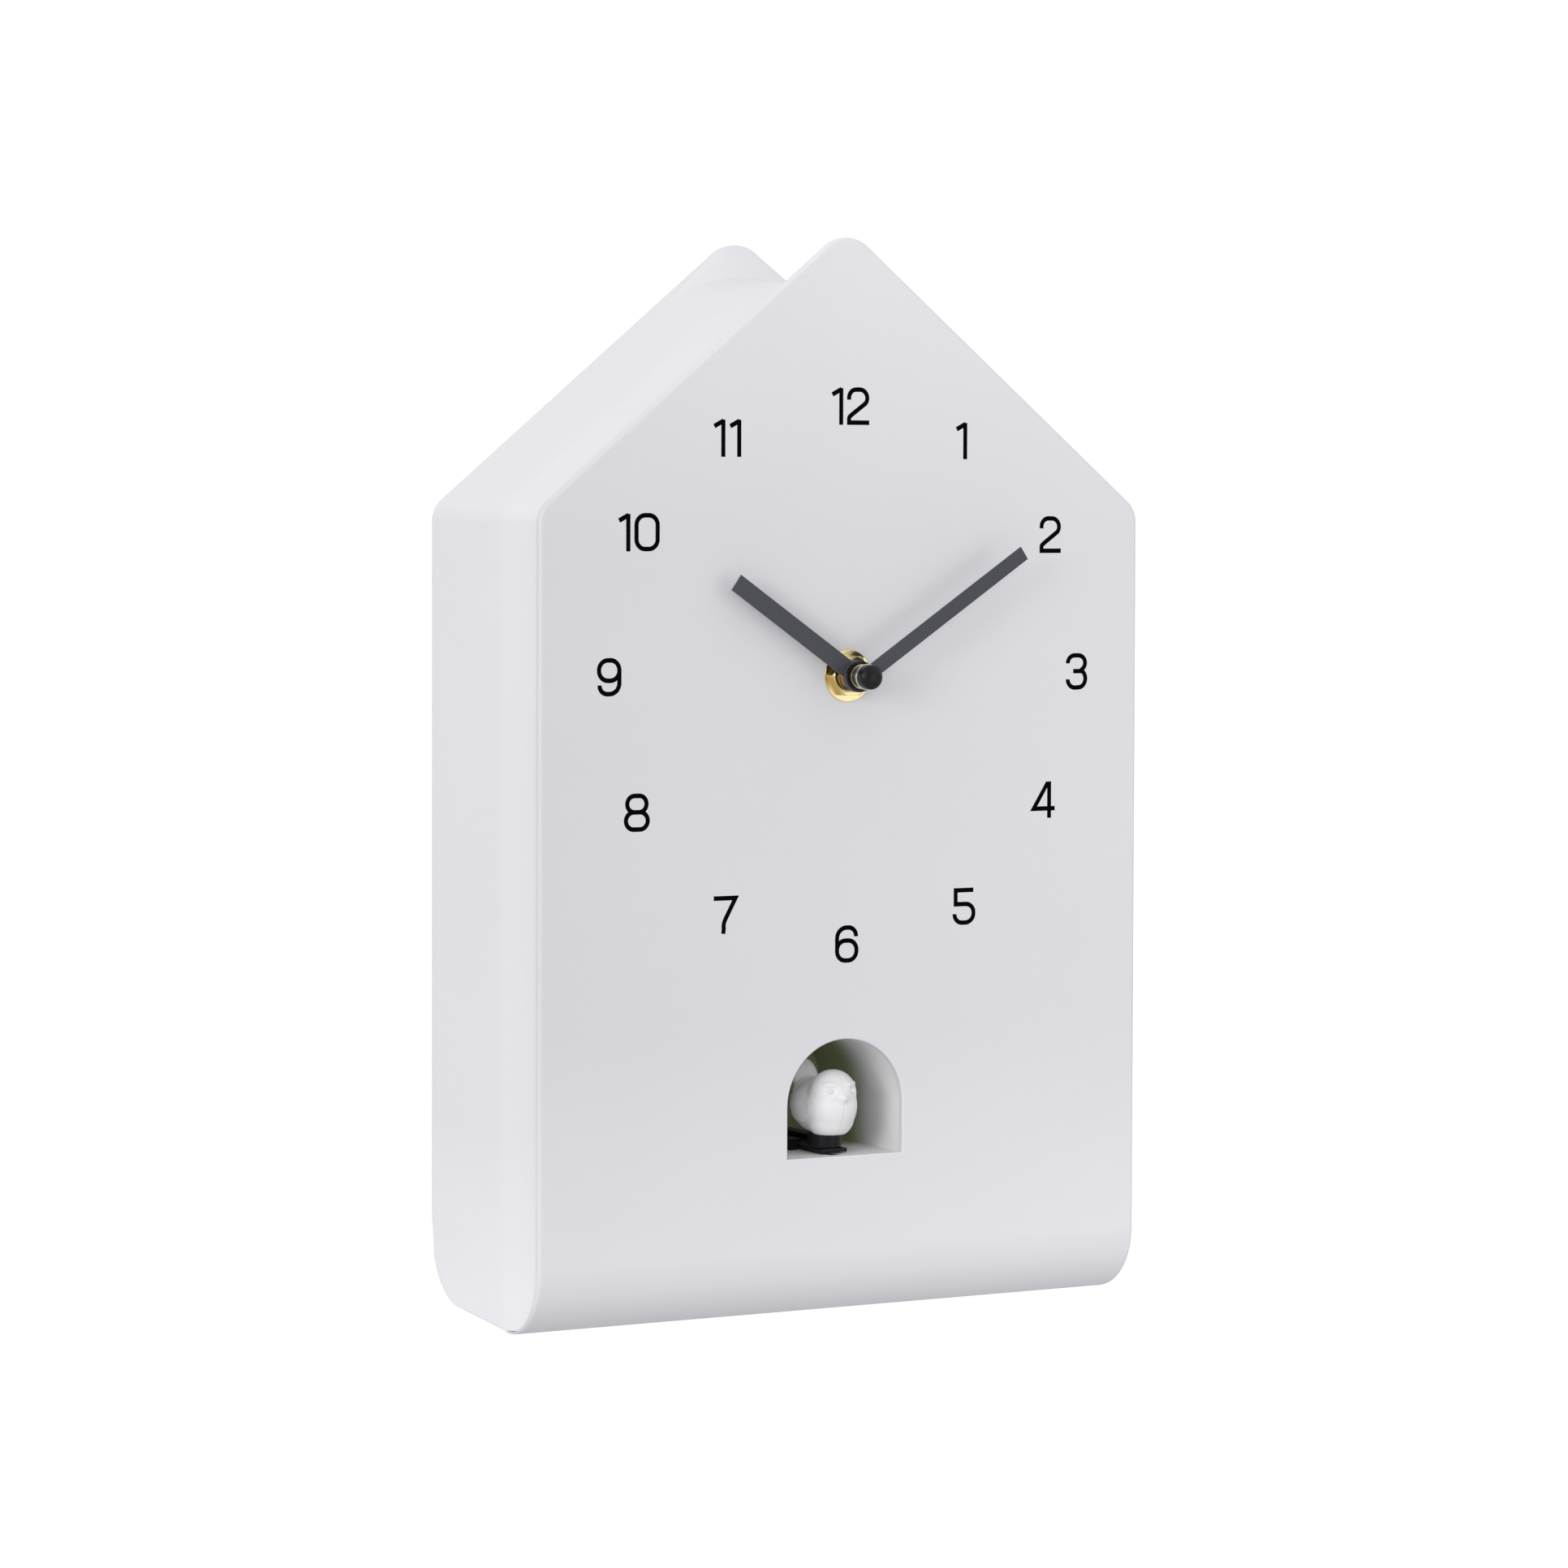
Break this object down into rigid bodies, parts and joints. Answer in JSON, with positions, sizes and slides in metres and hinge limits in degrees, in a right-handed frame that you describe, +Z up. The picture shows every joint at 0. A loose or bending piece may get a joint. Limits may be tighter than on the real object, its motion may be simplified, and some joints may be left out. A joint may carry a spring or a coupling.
{
  "type": "cuckoo clock",
  "caption": "House-shaped wall cuckoo clock with a bent front panel, plain bar hands, an arched niche and a small bird that slides out.",
  "frame": {"origin": "centre of the keyhole's round entry, on the wall plane at the back cover's outer face", "axes": "+Z up, +Y into the wall, so the dial faces -Y; +X to the right seen from the front"},
  "size_m": [0.194, 0.0854, 0.3069],
  "materials": {
    "panel_white": "smooth satin front panel, cool white",
    "shell_white": "fine satin moulded plastic, white",
    "cover_white": "fine spark-eroded texture, white",
    "niche_white": "satin white",
    "hand_charcoal": "flat charcoal paint",
    "cap_black": "glossy black",
    "polished_brass": "polished, lightly turned",
    "bright_steel": "bright",
    "plated_screw": "zinc plated",
    "bird_white": "smooth satin white",
    "mechanism_black": "satin black acetal",
    "gear_ivory": "natural acetal",
    "movement_plastic": "textured black",
    "rubber_black": "matt",
    "coil_copper": "enamelled copper winding",
    "board_green": "solder mask",
    "chip_black": "matt epoxy",
    "magnet_grey": "ferrite",
    "cone_paper": "pressed paper cone",
    "cell_wrap": "plain printed sleeve"
  },
  "bodies": {
    "casing": {"front_panel": "panel_white", "body_shell": "shell_white", "back_cover": "cover_white", "cover_screws": "plated_screw", "wall_pads": "rubber_black", "niche_liner": "niche_white", "slide_guides": "mechanism_black", "movement_front": "movement_plastic", "movement_back": "movement_plastic", "threaded_bushing": "polished_brass", "rubber_washer": "rubber_black", "brass_washer": "polished_brass", "hex_nut": "polished_brass", "stepper_coil": "coil_copper", "stator_plate": "bright_steel", "movement_board": "board_green", "quartz_crystal": "bright_steel", "gearbox_frame": "movement_plastic", "frame_screws": "plated_screw", "motor_case": "bright_steel", "battery_tray": "movement_plastic", "battery_cells": "cell_wrap", "battery_springs": "bright_steel", "contact_plates": "bright_steel", "circuit_board": "board_green", "board_components": "chip_black", "board_screws": "plated_screw", "switch_housings": "bright_steel", "button_spring": "bright_steel", "speaker_basket": "bright_steel", "speaker_magnet": "magnet_grey", "speaker_cone": "cone_paper", "speaker_ring": "movement_plastic"},
    "minute_group": {"minute_arbor": "polished_brass", "minute_hand": "hand_charcoal", "cap_ring": "bright_steel", "hand_cap": "cap_black"},
    "hour_group": {"hour_wheel": "polished_brass", "hour_hand": "hand_charcoal"},
    "motion_gear": {"motion_wheel": "gear_ivory"},
    "time_setter": {"set_shaft": "gear_ivory", "set_knob": "movement_plastic"},
    "bird_carriage": {"bird_left_half": "bird_white", "bird_right_half": "bird_white", "bird_post": "mechanism_black", "slide_rack": "mechanism_black"},
    "bird_drive": {"drive_gear": "gear_ivory", "drive_shaft": "bright_steel"},
    "motor_rotor": {"motor_pinion": "polished_brass"},
    "bay_door": {"battery_door": "cover_white"},
    "volume_switch": {"volume_slider": "mechanism_black"},
    "mode_switch": {"mode_slider": "mechanism_black"},
    "test_switch": {"test_button": "mechanism_black"}
  },
  "joints": [
    {"name": "minute_turn", "type": "hinge", "parent": "casing", "child": "minute_group", "pos_m": [0, 0, -0.098], "axis": [0, 1, 0], "continuous": true},
    {"name": "hour_turn", "type": "hinge", "parent": "casing", "child": "hour_group", "pos_m": [0, 0, -0.098], "axis": [0, 1, 0], "continuous": true},
    {"name": "motion_turn", "type": "hinge", "parent": "casing", "child": "motion_gear", "pos_m": [0.01, 0, -0.098], "axis": [0, 1, 0], "continuous": true},
    {"name": "set_turn", "type": "hinge", "parent": "casing", "child": "time_setter", "pos_m": [0.01, 0, -0.108], "axis": [0, 1, 0], "continuous": true},
    {"name": "bird_slide", "type": "slide", "parent": "casing", "child": "bird_carriage", "axis": [0, -1, 0], "range_m": [0, 0.022]},
    {"name": "drive_turn", "type": "hinge", "parent": "casing", "child": "bird_drive", "pos_m": [0, -0.038, -0.2447], "axis": [1, 0, 0], "range_deg": [0, 226]},
    {"name": "motor_turn", "type": "hinge", "parent": "casing", "child": "motor_rotor", "pos_m": [0, -0.029, -0.2447], "axis": [1, 0, 0], "range_deg": [-586, 0]},
    {"name": "door_swing", "type": "hinge", "parent": "casing", "child": "bay_door", "pos_m": [0, -0.002, -0.03], "axis": [1, 0, 0], "range_deg": [0, 100]},
    {"name": "volume_move", "type": "slide", "parent": "casing", "child": "volume_switch", "axis": [1, 0, 0], "range_m": [-0.003, 0.003]},
    {"name": "mode_move", "type": "slide", "parent": "casing", "child": "mode_switch", "axis": [1, 0, 0], "range_m": [-0.003, 0.003]},
    {"name": "test_press", "type": "slide", "parent": "casing", "child": "test_switch", "axis": [0, -1, 0], "range_m": [0, 0.0014], "stiffness_N_per_m": 300, "springref_m": -0.0008, "deforming": ["button_spring"]}
  ],
  "couplings": [
    {"joint": "hour_turn", "follows": "minute_turn", "ratio": 0.083333},
    {"joint": "motion_turn", "follows": "minute_turn", "ratio": -0.33333},
    {"joint": "set_turn", "follows": "minute_turn", "ratio": 1},
    {"joint": "drive_turn", "follows": "bird_slide", "rad_per_m": 178.57},
    {"joint": "motor_turn", "follows": "bird_slide", "rad_per_m": -464.29}
  ]
}
